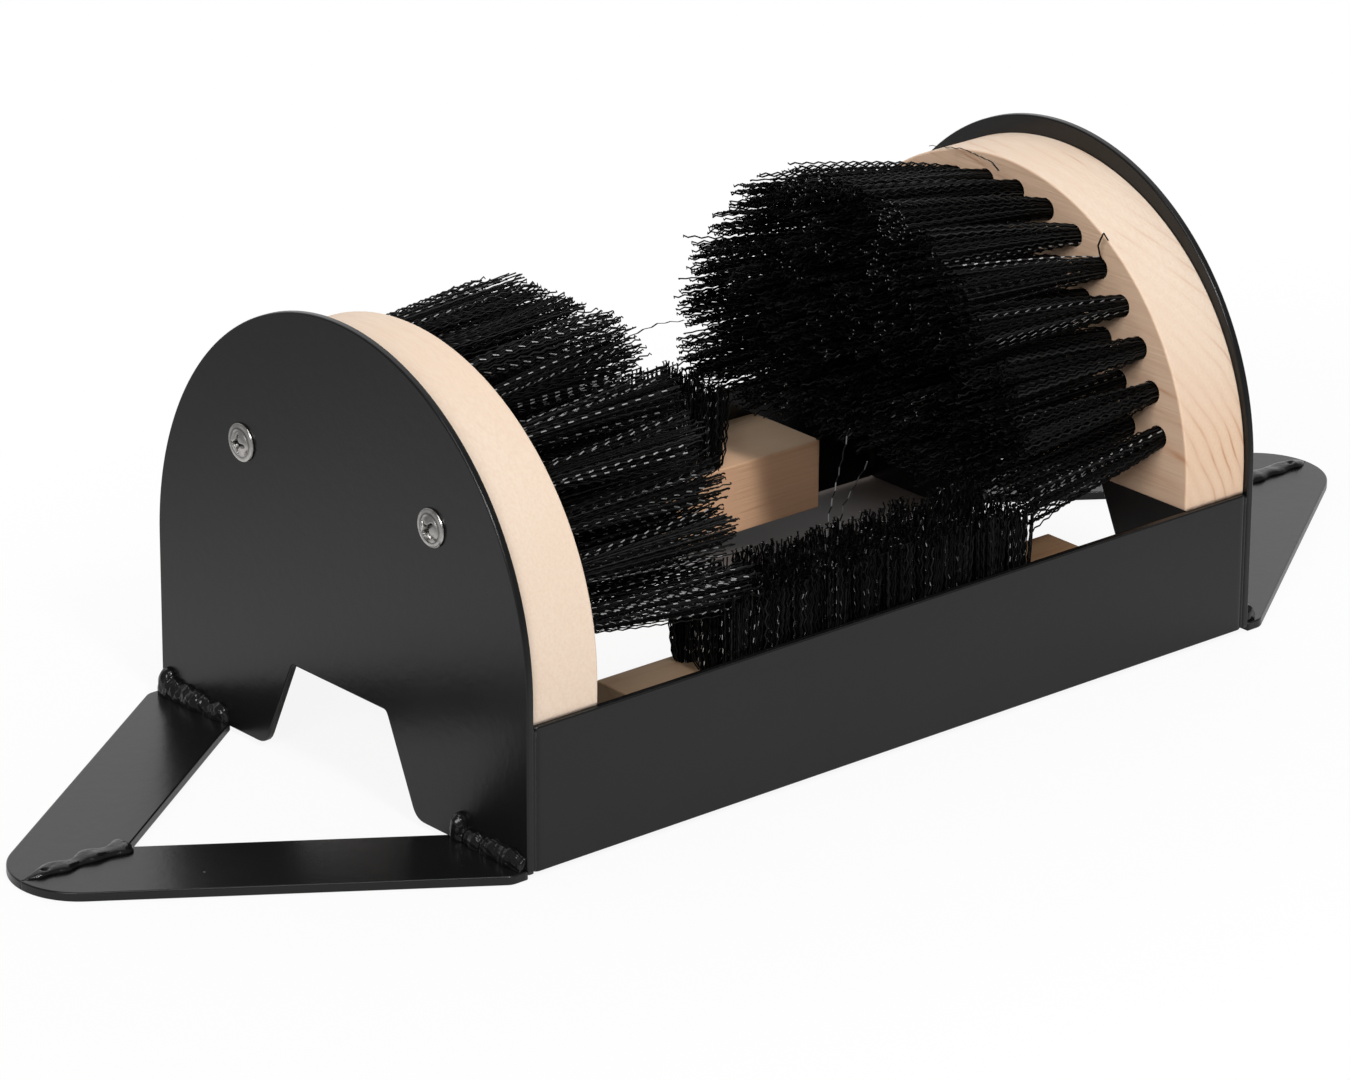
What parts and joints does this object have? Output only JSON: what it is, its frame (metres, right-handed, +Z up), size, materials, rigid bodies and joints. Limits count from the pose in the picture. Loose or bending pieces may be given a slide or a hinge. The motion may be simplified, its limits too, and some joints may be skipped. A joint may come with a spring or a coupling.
{
  "type": "boot scrubber",
  "caption": "Floor-standing boot scrubber: arched steel end plates with inward brushes, joined by rails that carry upright brushes, on V-shaped flat-bar feet.",
  "frame": {"origin": "centre of the footprint, on the floor under the flat-bar feet", "axes": "+X along the rails, from the left end plate to the right one, -Y towards the front rail, +Z up"},
  "size_m": [0.5376, 0.18, 0.15],
  "materials": {
    "powder_coat": "satin black powder coat",
    "weld": "black powder coat over a weld bead",
    "pine": "planed, unfinished",
    "filament": "black crimped plastic filament",
    "nickel": "nickel plated",
    "zinc": "zinc plated"
  },
  "bodies": {
    "root": {"end_plate_left": "powder_coat", "end_plate_right": "powder_coat", "rail_front": "powder_coat", "rail_rear": "powder_coat", "foot_bar_left_front": "powder_coat", "foot_bar_left_rear": "powder_coat", "foot_bar_right_front": "powder_coat", "foot_bar_right_rear": "powder_coat", "foot_tip_weld_left": "weld", "foot_tip_weld_right": "weld", "foot_weld_left_front": "weld", "foot_weld_left_rear": "weld", "foot_weld_right_front": "weld", "foot_weld_right_rear": "weld", "rail_weld_left_front": "weld", "rail_weld_left_rear": "weld", "rail_weld_right_front": "weld", "rail_weld_right_rear": "weld", "bracket_left_front": "powder_coat", "bracket_left_rear": "powder_coat", "bracket_right_front": "powder_coat", "bracket_right_rear": "powder_coat", "side_block_left": "pine", "side_block_right": "pine", "board_front": "pine", "board_rear": "pine", "side_bristles_left": "filament", "side_bristles_right": "filament", "board_bristles_front": "filament", "board_bristles_rear": "filament", "side_screw_left_front": "nickel", "side_screw_left_rear": "nickel", "side_screw_right_front": "nickel", "side_screw_right_rear": "nickel", "board_screw_left_front": "zinc", "board_screw_left_rear": "zinc", "board_screw_right_front": "zinc", "board_screw_right_rear": "zinc"}
  },
  "joints": []
}
